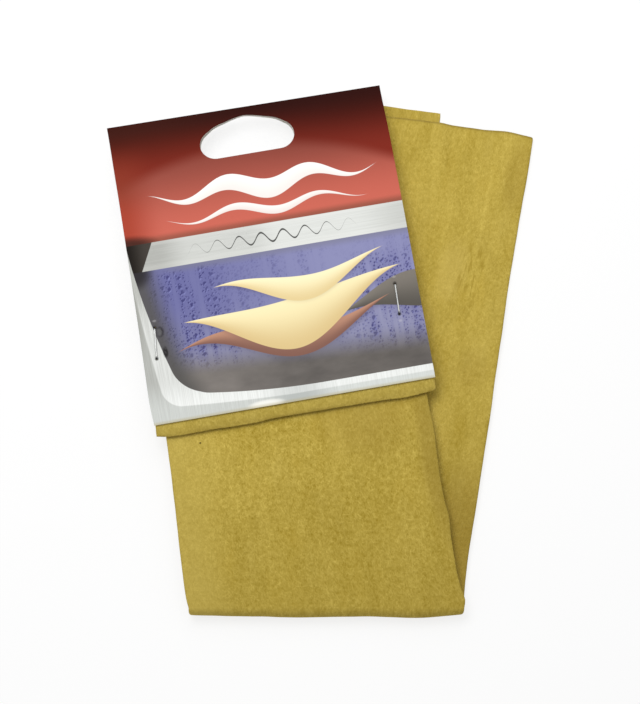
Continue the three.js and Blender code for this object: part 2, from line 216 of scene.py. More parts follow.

# Soft patches on the flat skin, each with its centre, half size, share and colour: painted shade on the
# tail's foot and along the leg's right edge, painted shadow with a darker patch below the flap, and three
# on the tail. Then a rubbed one and a dark speck
SHADE_AND_SKIN_PATCHES = (
    ((0.1000, 0.1860), (0.020, 0.056), 0.45, (146, 120, 50)),
    ((0.3165, 0.2620), (0.008, 0.040), 0.50, (150, 126, 52)),
    ((0.2912, 0.2813), (0.027, 0.025), 0.38, (150, 124, 48)),
    ((0.0948, 0.1010), (0.009, 0.011), 0.25, (150, 124, 46)),
    ((0.1017, 0.0174), (0.010, 0.018), 0.25, (150, 124, 48)),
    ((0.0787, 0.0600), (0.009, 0.017), 0.30, (220, 196, 108)),
)
RUBBED_PATCH = ((0.0875, 0.061), (0.009, 0.021), 0.6, (156, 130, 42))
SPECK = ((0.2247, 0.2761), (0.0005, 0.0005), 0.85, (44, 34, 16))

# Waves of the tail and of the front leg: the share of each, its length across and along, and its seed
TAIL_WAVES = ((0.35, 0.011, 0.075, 1.9), (0.3, 0.024, 0.040, 8.2))
LEG_WAVES = ((0.3, 0.016, 0.030, 2.7), (0.3, 0.008, 0.014, 6.1))

# Lengths of the small waves along a leg's edge, a cut edge, the tail's cut end and the bottom bend,
# the share of the bend's reach that they take, and both lengths of the flap's and the card's
EDGE_WAVE_LENGTHS = (0.017, 0.006)
CUT_WAVE_LENGTH = 0.006
TAIL_CUT_WAVE_LENGTH = 0.005
BEND_WAVE_LENGTH = 0.009
BEND_WAVE_SHARE = 0.05
FLAP_WAVE_LENGTHS = (0.013, 0.020)
CARD_WAVE_LENGTHS = (0.045, 0.060)

# Shares of a leg's length: where the tail comes free of the fold and where its cut end starts, where
# the front leg comes free, is held again and has risen to the card, and where the flap's end starts
TAIL_FREE_SHARE = 0.05
TAIL_END_START = 0.95
LEG_FREE_SHARE = 0.08
LEG_HELD_SHARES = (0.8, 0.95)
LEG_RISE_SHARE = 0.85
FLAP_HANG_START = 0.9

# Steps of the skin's grid: across its plies and folds, along its ends, and close to a cut edge
PLY_STEPS = 82
MIDDLE_PLY_STEPS = 16
PLY_FOLD_STEPS = 6
TAIL_STEPS = 112
BOTTOM_BEND_STEPS = 12
FLAP_STEPS = 12
FLAP_FINE_STEPS = 14
FLAP_FINE_START = 0.84
FINE_SHARES = (0.25, 0.5, 0.75, 1)
FINE_CLEARANCE = 1.6

# How the card lies, and the steps of its grid and of its round edges
FRONT_PANEL_PUFF = 0.00024
BACK_PANEL_PUFF = 0.00015
PUFF_AT_SIDES = 0.55
PUFF_AT_FOOT = 0.6
PUFF_FOOT_REACH = 0.02
PUFF_WAVE_SHARE = 0.3
DIMPLE_DEPTH = 0.00034
DIMPLE_REACH = 0.0024
BACK_DIMPLE_SHARE = 0.3
CARD_COARSE_STEP = 0.003
CARD_FINE_STEP = 0.0004
CARD_FINE_REACH = 0.0026
CREASE_STEPS = 8
SLOT_END_STEPS = 16
HOLE_SIDES = 14
CARD_SHARP_ANGLE = math.radians(40)

# Camera: the photograph's frame, and its scale at the point that it is aimed at
PHOTO_SIZE = (640, 704)
PIXELS_PER_METRE = 2500
CAMERA_TARGET = Vector((-0.000754, -0.00181, 0))
CAMERA_ELEVATION = math.radians(80.5)
CAMERA_DISTANCE = 0.65
CAMERA_SENSOR = 36

# Floor
FLOOR_REACH = 4
FLOOR_DROP = 0.0001

CARD_PLACE = (
    Matrix.Translation((FOLD.x + FRONT_LEG_SHIFT, FOLD.y + FRONT_LEG_LENGTH, 0))
    @ Matrix.Rotation(CARD_TURN, 4, "Z")
)


def mix(low, high, share):
    return low + (high - low) * share


def smooth(low, high, value):
    """0 below low and 1 above high, with a soft rise between."""
    share = min(1, max(0, (value - low) / (high - low)))
    return share * share * (3 - 2 * share)


def curve_through(pairs, place):
    """The value at a place, on a smooth curve through [place, value] pairs."""
    last = len(pairs) - 1
    part = 0
    while part < last - 1 and pairs[part + 1][0] < place:
        part += 1
    start, end = pairs[part], pairs[part + 1]
    before, after = pairs[max(part - 1, 0)], pairs[min(part + 2, last)]
    span = end[0] - start[0]
    share = min(1, max(0, (place - start[0]) / span))
    slope_in = (end[1] - before[1]) / (end[0] - before[0]) * span
    slope_out = (after[1] - start[1]) / (after[0] - start[0]) * span
    square, cube = share ** 2, share ** 3
    return (
        (2 * cube - 3 * square + 1) * start[1]
        + (cube - 2 * square + share) * slope_in
        + (3 * square - 2 * cube) * end[1]
        + (cube - square) * slope_out
    )


def ripple(across, along, length_across, length_along, seed):
    """Smooth waves from -1 to 1, with a length in each direction. Seeds make them differ."""
    return noise.noise(Vector((across / length_across, along / length_along, seed)))


def edge_ripple(distance, length, seed):
    """Smooth waves from -1 to 1 along a line."""
    return ripple(distance, 0, length, 1, seed)


def waves(kinds, across, along):
    """Several ripples together, about 0.5."""
    total = 0.5
    for share, *sizes in kinds:
        total += share * ripple(across, along, *sizes)
    return total


def on_card(across, rise):
    """The plan point on the card: across from its middle line and up from its lower edge."""
    return (CARD_PLACE @ Vector((across, rise, 0))).xy


def staple_places(offset):
    """Points at this distance to both sides of each staple's middle, as (across, rise)."""
    places = []
    for across, rise, turn in STAPLES:
        for reach in (-offset, offset):
            places.append((across - reach * math.sin(turn), rise + reach * math.cos(turn)))
    return places


LEGS = staple_places(STAPLE_LEG_OFFSET)


def new_object(name, data):
    """A new object in the scene, with this data."""
    made = bpy.data.objects.new(name, data)
    bpy.context.scene.collection.objects.link(made)
    return made


def new_piece(name, mesh, *materials):
    """A Blender object from a bmesh, which is freed."""
    data = bpy.data.meshes.new(name)
    mesh.to_mesh(data)
    mesh.free()
    for material in materials:
        data.materials.append(material)
    return new_object(name, data)


def configure(thing, **settings):
    for name, value in settings.items():
        setattr(thing, name, value)
    return thing


def lay_flat(mesh, flat):
    """Smooths a bmesh, and maps it by the places of its vertices on the flat sheet."""
    uv = mesh.loops.layers.uv.new("flat")
    for face in mesh.faces:
        face.smooth = True
        for loop in face.loops:
            loop[uv].uv = flat[loop.vert]


def apply_modifiers(piece):
    graph = bpy.context.evaluated_depsgraph_get()
    mesh = bpy.data.meshes.new_from_object(piece.evaluated_get(graph))
    piece.modifiers.clear()
    piece.data = mesh


def numbered_grid(mesh, columns, rows):
    """Adds a grid to a bmesh. Lists its vertices as (vertex, column, row)."""
    bmesh.ops.create_grid(mesh, x_segments=columns - 1, y_segments=rows - 1, size=1)
    places = []
    for vertex in mesh.verts:
        column = round((vertex.co.x + 1) / 2 * (columns - 1))
        row = round((vertex.co.y + 1) / 2 * (rows - 1))
        places.append((vertex, column, row))
    return places


# Camera

def make_camera():
    lens = CAMERA_SENSOR * CAMERA_DISTANCE * PIXELS_PER_METRE / max(PHOTO_SIZE)
    data = bpy.data.cameras.new("camera")
    configure(data, sensor_width=CAMERA_SENSOR, lens=lens, clip_start=0.01, clip_end=50)
    camera = new_object("camera", data)
    back = Vector((0, -math.cos(CAMERA_ELEVATION), math.sin(CAMERA_ELEVATION)))
    camera.location = CAMERA_TARGET + back * CAMERA_DISTANCE
    camera.rotation_euler = (-back).to_track_quat("-Z", "Y").to_euler()
    bpy.context.scene.camera = camera


# Shader sums

class Field:
    """A number that varies over a surface. Sums with it become nodes in its shader."""

    def __init__(self, socket):
        self.socket = socket
        self.tree = socket.id_data

    def maths(self, operation, *others):
        inputs = enumerate((self, *others))
        return Field(add_node(self.tree, "Math", inputs, operation=operation).outputs[0])

    def __add__(self, other):
        return self.maths("ADD", other)

    def __sub__(self, other):
        return self.maths("SUBTRACT", other)

    def __mul__(self, other):
        return self.maths("MULTIPLY", other)

    def __truediv__(self, other):
        return self.maths("DIVIDE", other)

    def __abs__(self):
        return self.maths("ABSOLUTE")

    def at_least(self, other):
        return self.maths("MAXIMUM", other)

    def inverse(self):
        """1 minus the field."""
        return self * -1 + 1

    def clamped(self):
        """The field kept from 0 to 1."""
        return self.at_least(0).maths("MINIMUM", 1)

    def sine(self, length, start=0):
        """A wave of this length, from -1 to 1."""
        return ((self + start) * (2 * math.pi / length)).maths("SINE")

    def rises(self, low, high):
        """0 below low and 1 above high, with a soft rise between."""
        inputs = {"Value": self, "From Min": low, "From Max": high}
        node = add_node(self.tree, "MapRange", inputs, interpolation_type="SMOOTHSTEP")
        return Field(node.outputs["Result"])

    def falls(self, low, high):
        """1 below low and 0 above high, with a soft fall between."""
        return self.rises(low, high).inverse()


def feed(node, inputs):
    """Links fields and sockets to a node's inputs, and sets its other inputs' own values."""
    for name, value in dict(inputs).items():
        source = value.socket if isinstance(value, Field) else value
        if isinstance(source, bpy.types.NodeSocket):
            node.id_data.links.new(source, node.inputs[name])
        else:
            node.inputs[name].default_value = value


def add_node(tree, kind, inputs=(), **settings):
    """A shader node with its settings and inputs."""
    node = tree.nodes.new("ShaderNode" + kind)
    configure(node, **settings)
    feed(node, inputs)
    return node


def ink(*levels):
    """A colour written as it shows on a screen, from 0 to 255, as the linear one that shaders use."""
    linear = []
    for share in (level / 255 for level in levels):
        linear.append(share / 12.92 if share <= 0.04045 else ((share + 0.055) / 1.055) ** 2.4)
    return linear + [1]


def mix_colours(share, low, high):
    return add_node(share.tree, "Mix", {0: share, 6: low, 7: high}, data_type="RGBA").outputs[2]


def stain(colour, share, *levels):
    """A colour with a share of an ink laid over it."""
    return mix_colours(share, colour, ink(*levels))


def split(place):
    """A place's three directions, as fields."""
    node = add_node(place.id_data, "SeparateXYZ", {"Vector": place})
    return [Field(socket) for socket in node.outputs]


def make_mottle_group():
    """Cloudy noise from 0 to 1, with a size, and a stretch along the second direction."""
    tree = bpy.data.node_groups.new("mottle", "ShaderNodeTree")
    tree.interface.new_socket("Place", in_out="INPUT", socket_type="NodeSocketVector")
    for name in ("Size", "Stretch", "Detail", "Contrast"):
        tree.interface.new_socket(name, in_out="INPUT", socket_type="NodeSocketFloat")
    tree.interface.new_socket("Value", in_out="OUTPUT", socket_type="NodeSocketFloat")
    given = tree.nodes.new("NodeGroupInput").outputs
    size = Field(given["Size"])
    x, y, z = split(given["Place"])
    scaled = {"X": x / size, "Y": y / (size * given["Stretch"]), "Z": z / size}
    place = add_node(tree, "CombineXYZ", scaled).outputs[0]
    cloud = add_node(
        tree, "TexNoise", {"Vector": place, "Scale": 1, "Detail": given["Detail"], "Roughness": 0.55},
    )
    value = (Field(cloud.outputs["Fac"]) - 0.5) * given["Contrast"] + 0.5
    feed(tree.nodes.new("NodeGroupOutput"), {"Value": value.clamped()})
    return tree


MOTTLE = make_mottle_group()


def mottle(place, size, stretch=1, detail=2, contrast=2):
    inputs = {"Place": place, "Size": size, "Stretch": stretch, "Detail": detail, "Contrast": contrast}
    return Field(add_node(place.id_data, "Group", inputs, node_tree=MOTTLE).outputs["Value"])


def new_material(name):
    """A material with its node tree."""
    material = bpy.data.materials.new(name)
    material.use_nodes = True
    return material, material.node_tree


def finish_material(material, inputs, relief, strength, distance):
    """Feeds the Principled shader's inputs, and its relief by a strength and a height in metres."""
    bump = {"Height": relief, "Strength": strength, "Distance": distance}
    normal = add_node(material.node_tree, "Bump", bump).outputs["Normal"]
    feed(material.node_tree.nodes["Principled BSDF"], {**inputs, "Normal": normal})
    return material


def surface_place(tree, scale):
    """The piece's own UV map, in metres."""
    uv = add_node(tree, "TexCoord").outputs["UV"]
    return add_node(tree, "VectorMath", {0: uv, 1: [scale] * 3}, operation="MULTIPLY").outputs[0]


def object_place(tree):
    return add_node(tree, "TexCoord").outputs["Object"]


# Materials

def spot(across, along, centre, size):
    """1 at a centre, falling to 0 at this half size in each direction."""
    across = (across - centre[0]) * (1 / size[0])
    along = (along - centre[1]) * (1 / size[1])
    return (across * across + along * along).falls(0.1, 1)


def paint_patches(colour, across, along, patches, cover=1):
    """Soft patches, each with its centre, half size, share and colour."""
    for centre, size, share, levels in patches:
        colour = stain(colour, spot(across, along, centre, size) * cover * share, *levels)
    return colour


def make_suede():
    """Napped chamois: short clumped fibres over broad, faint differences of colour."""
    material, tree = new_material("chamois_suede")
    place = surface_place(tree, SKIN_UV_SIZE)
    across, along = split(place)[:2]
    front = along.rises(BOTTOM_FOLD_ALONG - FRONT_BLEND, BOTTOM_FOLD_ALONG + FRONT_BLEND)

    # The nap is coarser on the front leg than on the tail
    clumps = mottle(place, size=0.0016, stretch=1.3, detail=5, contrast=1.6)
    fibres = mottle(place, size=0.00055, stretch=1.8, detail=3, contrast=1.8)
    tangle = mottle(place, size=0.0028, stretch=1.5, detail=1.5, contrast=1.6)
    curls = abs(tangle - 0.5).falls(0, 0.045)
    nap = clumps * 0.55 + fibres * 0.45
    patches = mottle(place, size=0.017, stretch=2.6, contrast=1.8)
    strokes = mottle(place, size=0.0050, stretch=4)
    near_bottom_fold = abs(along - BOTTOM_FOLD_ALONG).falls(0, BOTTOM_FOLD_REACH)
    fine = nap - 0.5 + curls * 0.2 - 0.04
    fine = fine * (front * 0.3 + 0.7 + near_bottom_fold * 0.3)
    tone = fine + (patches - 0.5) * 0.3 + (strokes - 0.5) * 0.2 + 0.5
    colour = mix_colours(tone.clamped(), ink(144, 119, 20), ink(216, 192, 97))

    # Warmer and paler places, where the oil of the tanning lies unevenly
    warmth = mottle(place, size=0.013, stretch=2.2, detail=3, contrast=1.6)
    colour = stain(colour, warmth.rises(0.5, 1) * 0.3, 184, 154, 50)
    colour = stain(colour, warmth.falls(0, 0.5) * 0.3, 182, 161, 80)

    # Painted shade darkens the skin near the bottom fold, where the light falls off; then soft patches,
    # and the skin is paler down the leg's left fold
    colour = stain(colour, near_bottom_fold * 0.42, 158, 135, 52)
    # Some of these patches are painted shade: the tail's foot beside the leg, the leg's right edge, and
    # the flap's shadow below it
    colour = paint_patches(colour, across, along, SHADE_AND_SKIN_PATCHES)
    pale = abs(across - PALE_ACROSS).falls(0, PALE_REACH) * front
    pale = pale.at_least(along.rises(FLAP_ALONG, FLAP_ALONG + FLAP_BLEND) * 0.6)
    colour = stain(colour, pale * 0.45, 200, 178, 92)

    # Short dark strokes where something wiped the nap flat, and a speck
    rubs = mottle(place, size=0.0017, stretch=4.5, contrast=2.6)
    colour = paint_patches(colour, across, along, [RUBBED_PATCH], cover=rubs.falls(0.15, 0.5))
    colour = paint_patches(colour, across, along, [SPECK])

    # Cut edges: a soft darker margin, and a thin dark rim on the tail's end, painted shade where its upper
    # plies step down to the back ply
    margin = Field(add_node(tree, "Attribute", attribute_name="cut_edge").outputs["Fac"])
    colour = stain(colour, margin * 0.25, 156, 134, 56)
    rim = margin.rises(0.55, 1) * along.falls(*SHADED_RIM_ALONG) * across.falls(*SHADED_RIM_ACROSS)
    colour = stain(colour, rim * 0.45, 104, 86, 40)
    inputs = {
        "Base Color": colour, "Roughness": nap * 0.1 + 0.86, "Specular IOR Level": 0.1,
        "Sheen Weight": 0.12, "Sheen Roughness": 0.5, "Sheen Tint": ink(236, 216, 140),
    }
    return finish_material(material, inputs, nap, strength=0.5, distance=0.0005)


def make_board():
    """Bare grey-white board, with the faint flecks of its pulp."""
    material, tree = new_material("bare_board")
    place = surface_place(tree, CARD_HEIGHT)
    pulp = mottle(place, size=0.0009, stretch=1.8, detail=3)
    cloud = mottle(place, size=0.012, contrast=1.6)
    colour = mix_colours(pulp * 0.6 + cloud * 0.4, ink(205, 201, 190), ink(226, 223, 214))
    inputs = {"Base Color": colour, "Roughness": pulp * 0.1 + 0.78, "Specular IOR Level": 0.25}
    return finish_material(material, inputs, pulp, strength=0.25, distance=0.0001)


def make_paper_edge():
    """The cut edge of the board, where its layers show."""
    material, tree = new_material("board_cut_edge")
    fibres = mottle(object_place(tree), size=0.0005, detail=3)
    colour = mix_colours(fibres, ink(226, 223, 214), ink(248, 246, 240))
    inputs = {"Base Color": colour, "Roughness": fibres * 0.1 + 0.8, "Specular IOR Level": 0.2}
    return finish_material(material, inputs, fibres, strength=0.3, distance=0.0001)


def make_staple_steel():
    """Bright zinc-coated wire with fine lines along it."""
    material, tree = new_material("staple_wire")
    place = object_place(tree)
    lines = mottle(place, size=0.00012, stretch=14)
    stains = mottle(place, size=0.0016, detail=3)
    colour = mix_colours(lines * 0.5 + stains * 0.5, ink(128, 130, 132), ink(178, 178, 174))

    # Painted shade: the bends and legs sit in their holes, where the wire would mirror nothing bright, so
    # its colour is darkened there
    height = split(place)[2]
    shaded_below_crown = height.falls(CROWN_TOP - WIRE_SHADE_DEPTH, CROWN_TOP - WIRE_UNSHADED_DEPTH)
    above_clinch = height.rises(BACK_PANEL_BOTTOM, BACK_PANEL_BOTTOM + BOARD_THICKNESS)
    colour = stain(colour, shaded_below_crown * above_clinch, 62, 62, 66)
    inputs = {"Base Color": colour, "Metallic": 1, "Roughness": lines * 0.14 + stains * 0.1 + 0.34}
    return finish_material(material, inputs, lines, strength=0.15, distance=0.00003)


# The print: distances below the crease, and across from the middle line. The panel's foot rises to
# the left by its start plus its slope times across, and TINY keeps a division from 0. The places and
# shares of a single tint stand where it is painted
BAND_TOP = 0.0502
BAND_BOTTOM = 0.0614
BAND_LEFT = -0.0454
BAND_SLANT = 0.49
PANEL_LEFT = -0.0559
PANEL_LEAN = 0.1
PANEL_BOW = 1.85
PANEL_FOOT_LEFT = 0.1129
PANEL_FOOT_RIGHT = 0.1169
PANEL_FOOT_START = 0.28
PANEL_FOOT_SLOPE = -20
PANEL_CORNER = 0.0100
RIM_TOP = 0.0676
RIM_LEAN = 0.077
RIM_BOW = 0.74
RIM_FOOT = 0.1195
RIM_RISE = 0.029
RIM_FOOT_BOW = 0.7
RIM_CORNER = 0.0063
RIM_BLUR = 0.0003
ARC_MIDDLE = -0.005
ARC_TOP = 0.0135
ARC_BOW = 4.2
INK_EDGE = 0.00012
TINY = 0.00001
CELLS_OF_LARGE_BEADS = 400
CELLS_OF_SMALL_BEADS = 800

# Soft patches on the print, each with its centre, half size, share and colour
RED_CORNER = ((-0.0565, BAND_TOP + 0.0005), (0.016, 0.0052), 0.85, (50, 28, 24))
BLUE_CORNER = ((-0.055, BAND_BOTTOM), (0.0095, 0.0085), 0.9, (42, 39, 42))
FOOT_STREAK = ((-0.0112, 0.1216), (0.0085, 0.0020), 0.9, (250, 249, 240))
# Dark patches by the left staple's ends
LEFT_STAPLE_DARK_PATCHES = (
    ((-0.0477, 0.0863), (0.0020, 0.0027), 0.9, (44, 42, 46)),
    ((-0.0481, 0.0864), (0.0014, 0.0020), 0.7, (112, 111, 112)),
    ((-0.0468, 0.0947), (0.0013, 0.0029), 0.95, (40, 38, 38)),
)

# Waves of the print, each with its start and end across, its middle line's depth, the line's length,
# phase, swing and slope, its own width, its shadow's reach, and its upper and lower colour
WHITE_WAVES = (
    (-0.046, 0.050, 0.0336, 0.034, 0.004, 0.0026, 0, 0.0080, 0.0004, (250, 246, 242), (240, 233, 228)),
    (-0.040, 0.044, 0.0434, 0.034, 0.002, 0.0020, 0, 0.0034, 0.0003, (248, 242, 238), (236, 226, 220)),
)

BAND_WAVE = (-0.034, 0.038, 0.0558, 0.0088, 0, 0.0021, 0, 0.0008, 0, (96, 96, 94), (70, 70, 68))

BLUE_WAVES = (
    (0.022, 0.092, 0.0935, 0.080, 0.016, 0.0030, -0.10, 0.0150, 0.0024, (128, 122, 114), (92, 88, 82)),
    (-0.044, 0.046, 0.0950, 0.084, 0.010, 0.0052, -0.10, 0.0120, 0.0030, (190, 142, 118), (134, 96, 84)),
    (-0.040, 0.052, 0.0865, 0.092, 0.018, 0.0060, -0.10, 0.0200, 0.0024, (250, 237, 188), (222, 196, 140)),
    (-0.026, 0.046, 0.0750, 0.070, 0.004, 0.0046, -0.08, 0.0100, 0.0020, (252, 242, 198), (230, 207, 152)),
)

# Marks of a staple's legs: their distance from its middle, and their half size, share and colour. The
# first is a painted highlight on the dimple beyond each leg, the second painted shade in its hole
LEG_MARKS = (
    (STAPLE_LEG_OFFSET + 0.0028, ((0.0010, 0.0006), 0.2, (224, 222, 224))),
    (STAPLE_HOLE_OFFSET, ((0.0010, 0.0010), 0.85, (36, 34, 40))),
)


def paint_red_zone(across, down):
    """Dark at the crease and bright red above the band, with one soft arc of light across it."""
    from_middle = across - ARC_MIDDLE
    crest = from_middle * from_middle * ARC_BOW + ARC_TOP
    start = mix_colours(across.rises(-0.052, 0.010), ink(58, 22, 15), ink(42, 12, 8))
    dark = stain(start, down.rises(0, 0.027), 128, 43, 31)
    light = mix_colours(down.rises(0.013, BAND_TOP), ink(128, 64, 54), ink(202, 103, 87))
    colour = mix_colours((down - crest).rises(0, 0.007), dark, light)
    right = across.rises(-0.01, 0.045) * down.falls(0, 0.036)
    colour = stain(colour, right * 0.5, 46, 15, 11)
    left = across.falls(-CARD_WIDTH / 2, -0.038) * down.rises(0.006, 0.028)
    tint = mix_colours(down.rises(0.026, 0.040), ink(138, 57, 40), ink(160, 56, 35))
    colour = mix_colours(left * 0.8, colour, tint)
    above_band = down.rises(BAND_TOP - 0.0034, BAND_TOP - 0.0004)
    colour = stain(colour, above_band * 0.75, 132, 80, 64)
    return paint_patches(colour, across, down, [RED_CORNER])


def paint_wave(colour, across, down, wave):
    """A line that swells in its middle and runs out at both ends, with a soft shadow below it."""
    start, end, depth, length, phase, swing, slope, width, shadow_reach, light, dark = wave
    line = across.sine(length, phase) * swing + depth + across * slope
    middle = mix(start, end, 0.5)
    ends = across.rises(start, middle) * across.falls(middle, end)
    half = ends * (width / 2)
    below = down - line
    shadow = (below / (half + shadow_reach + TINY)).falls(0.2, 1) * below.rises(0, 0.0004)
    colour = stain(colour, shadow * ends.rises(0, 0.3) * 0.5, 72, 62, 78)
    inside = (abs(below) - half).falls(-INK_EDGE, INK_EDGE) * ends.rises(0, 0.02)
    fold = (below / (half + TINY)).rises(-1, 1)
    paint = mix_colours(fold, ink(*light), ink(*dark))
    return mix_colours(inside, colour, paint)


def paint_beads(colour, place, share, cells):
    """Water beads, with this many cells to a metre: uneven drops, each darker on its upper side."""
    tree = place.id_data
    wobble = add_node(tree, "TexNoise", {"Vector": place, "Scale": cells * 1.6, "Detail": 1.0})
    uneven = add_node(
        tree, "VectorMath", {0: wobble.outputs["Color"], 1: [0.5 / cells] * 3, 2: place},
        operation="MULTIPLY_ADD",
    )
    beads = add_node(
        tree, "TexVoronoi", {"Vector": uneven.outputs[0], "Scale": cells, "Randomness": 1.0},
        voronoi_dimensions="2D",
    )
    own = split(beads.outputs["Color"])[0]
    radius = own * 0.36 + 0.08
    inside = (Field(beads.outputs["Distance"]) - radius).falls(-0.10, 0.05) * share
    from_centre = add_node(
        tree, "VectorMath", {0: uneven.outputs[0], 1: beads.outputs["Position"]},
        operation="SUBTRACT",
    )
    right, up = split(from_centre.outputs[0])[:2]
    upper = (up - right) * cells
    paint = mix_colours(upper.rises(-0.32, 0.02), ink(130, 132, 184), ink(66, 65, 116))
    return mix_colours(inside * 0.9, colour, paint)


def paint_blue_zone(place, across, down, from_left):
    """Violet blue, paler upwards and grey at the bottom, with water beads and folded waves."""
    colour = mix_colours(across.rises(-0.045, 0.03), ink(112, 113, 162), ink(140, 141, 181))
    colour = stain(colour, down.rises(0.075, 0.104) * 0.7, 152, 152, 176)
    clouds = mottle(place, size=0.015, detail=1, contrast=3)
    sides = across.falls(-0.034, -0.006) + across.rises(0.024, 0.042) * down.rises(0.066, 0.074)
    wet = (clouds * 0.5 + sides * 0.75).clamped() * down.rises(BAND_BOTTOM, BAND_BOTTOM + 0.004)
    streams = mottle(place, size=0.0034, stretch=10, contrast=3.4)
    colour = stain(colour, streams * wet * 0.5, 92, 92, 148)
    colour = paint_beads(colour, place, wet * streams.rises(0.1, 0.5), CELLS_OF_SMALL_BEADS)
    colour = paint_beads(colour, place, wet * streams.rises(0.3, 0.7), CELLS_OF_LARGE_BEADS)
    low = (down - across * 0.05).rises(0.0960, 0.1085)
    haze = mottle(place, size=0.014, stretch=0.5, detail=3, contrast=1.4)
    haze = haze * 0.6 + across.falls(-0.030, 0.005) * 0.4
    ground = mix_colours(haze, ink(88, 84, 81), ink(136, 130, 125))
    colour = mix_colours(low, colour, ground)
    colour = stain(colour, from_left.falls(0.001, 0.0125) * 0.95, 88, 86, 84)
    shade = (down - BAND_BOTTOM).falls(0, 0.0036) * across.rises(-0.048, -0.034)
    colour = stain(colour, shade * 0.6, 122, 121, 136)
    colour = paint_patches(colour, across, down, [BLUE_CORNER])
    for wave in BLUE_WAVES:
        colour = paint_wave(colour, across, down, wave)
    return colour


def rounded_corner(from_left, from_foot, radius):
    """How far a place lies inside a panel with a round lower left corner, up to its radius."""
    side = (from_left * -1 + radius).at_least(0)
    foot = (from_foot * -1 + radius).at_least(0)
    return (side * side + foot * foot).maths("SQRT") * -1 + radius


def paint_band(x, y, across, down):
    """The silver band: brushed along the card, brightest in its middle, and slanted at its left."""
    turned = add_node(x.tree, "CombineXYZ", {"X": y, "Y": x})
    lines = mottle(turned.outputs[0], size=0.00035, stretch=60, detail=3, contrast=3)
    gleam = across.rises(-0.045, -0.030) * 0.50 + across.rises(-0.008, 0.006) * 0.33
    gleam = gleam - across.rises(0.034, 0.058) * 0.42
    tone = gleam + (lines - 0.5) * 0.2
    band = mix_colours(tone.clamped(), ink(174, 175, 170), ink(226, 228, 224))
    upper = (down - BAND_TOP).falls(0.0008, 0.0016)
    lower = (down - BAND_BOTTOM).rises(-0.0024, -0.0016)
    band = stain(band, (upper + lower) * 0.12, 243, 243, 239)
    band = paint_wave(band, across, down, BAND_WAVE)
    start = (down - BAND_TOP) * BAND_SLANT + across - BAND_LEFT
    beside = mix_colours(across.rises(-CARD_WIDTH / 2, -0.047), ink(31, 27, 23), ink(67, 62, 57))
    return mix_colours(start.rises(-INK_EDGE, INK_EDGE), beside, band)


def paint_border(place, across, down):
    """The silver border, brushed up the card: bright inside and greyer outside."""
    combed = (mottle(place, size=0.00030, stretch=50, detail=3, contrast=3) - 0.5) * 0.35
    foot_glow = down.rises(0.104, 0.118)
    glow = down.rises(0.066, 0.088) * 0.50 + foot_glow * 0.38
    inner = mix_colours((glow + combed).clamped(), ink(182, 183, 178), ink(244, 246, 243))
    glow = foot_glow * 0.5 + across.rises(-0.030, 0.030) * 0.24 + 0.10
    outer = mix_colours((glow + combed).clamped(), ink(174, 175, 170), ink(222, 226, 222))
    side = across + CARD_WIDTH / 2
    dull = side.falls(0, 0.0018) * down.falls(0.080, 0.100)
    outer = stain(outer, dull * 0.9, 160, 161, 155)

    # The line between the two bows like the blue panel's side, and rises to the left at the foot
    below = down - RIM_TOP
    from_left = side - below * RIM_LEAN - below * below * RIM_BOW
    out = (across * -1).at_least(0)
    from_foot = (down * -1) + RIM_FOOT - out * RIM_RISE - out * out * RIM_FOOT_BOW
    inside = rounded_corner(from_left, from_foot, RIM_CORNER).rises(-RIM_BLUR, RIM_BLUR)
    colour = mix_colours(inside, outer, inner)

    # Dull at the middle of the foot, with one bright streak, and stained by the leather at its edge
    dip = abs(across - 0.002).falls(0.002, 0.017)
    colour = stain(colour, dip * (inside * -0.35 + 0.8), 178, 182, 179)
    colour = paint_patches(colour, across, down, [FOOT_STREAK])
    return stain(colour, down.rises(0.1210, 0.1226) * 0.6, 184, 172, 124)


def paint_staple_marks(colour, place, across, down):
    """Painted shade in pits at the staples' legs, a painted highlight past each, dark patches by the left
    one.
    """
    rise = down * -1 + CARD_HEIGHT
    for offset, look in LEG_MARKS:
        marks = [(centre, *look) for centre in staple_places(offset)]
        colour = paint_patches(colour, across, rise, marks)
    broken = mottle(place, size=0.0009, detail=3, contrast=2.5).rises(0.2, 0.5) * 0.4 + 0.6
    return paint_patches(colour, across, down, LEFT_STAPLE_DARK_PATCHES, broken)


def make_print():
    """The card's printed and varnished face."""
    material, tree = new_material("printed_card")
    place = surface_place(tree, CARD_HEIGHT)
    x, y = split(place)[:2]
    across = x - CARD_WIDTH / 2
    down = y * -1 + CARD_HEIGHT

    # The blue panel's left side leans and bows, and its foot rises a little to the left
    below = down - BAND_TOP
    from_left = across - PANEL_LEFT - below * PANEL_LEAN - below * below * PANEL_BOW
    risen = (across * PANEL_FOOT_SLOPE + PANEL_FOOT_START).clamped()
    foot = risen * risen * (PANEL_FOOT_LEFT - PANEL_FOOT_RIGHT) + PANEL_FOOT_RIGHT
    in_panel = rounded_corner(from_left, foot - down, PANEL_CORNER).rises(-INK_EDGE, INK_EDGE)

    red = paint_red_zone(across, down)
    for wave in WHITE_WAVES:
        red = paint_wave(red, across, down, wave)
    blue = paint_blue_zone(place, across, down, from_left)
    band_top = (down - BAND_TOP).rises(-INK_EDGE, INK_EDGE)
    band_bottom = (down - BAND_BOTTOM).rises(-INK_EDGE, INK_EDGE)
    lower = mix_colours(band_bottom, paint_band(x, y, across, down), blue)
    lower = mix_colours(in_panel, paint_border(place, across, down), lower)
    colour = mix_colours(band_top, red, lower)
    colour = paint_staple_marks(colour, place, across, down)
    flow = mottle(place, size=0.0016, contrast=1.5)
    inputs = {"Base Color": colour, "Roughness": flow * 0.08 + 0.36, "Specular IOR Level": 0.02}
    return finish_material(material, inputs, flow, strength=0.08, distance=0.0001)


# The skin

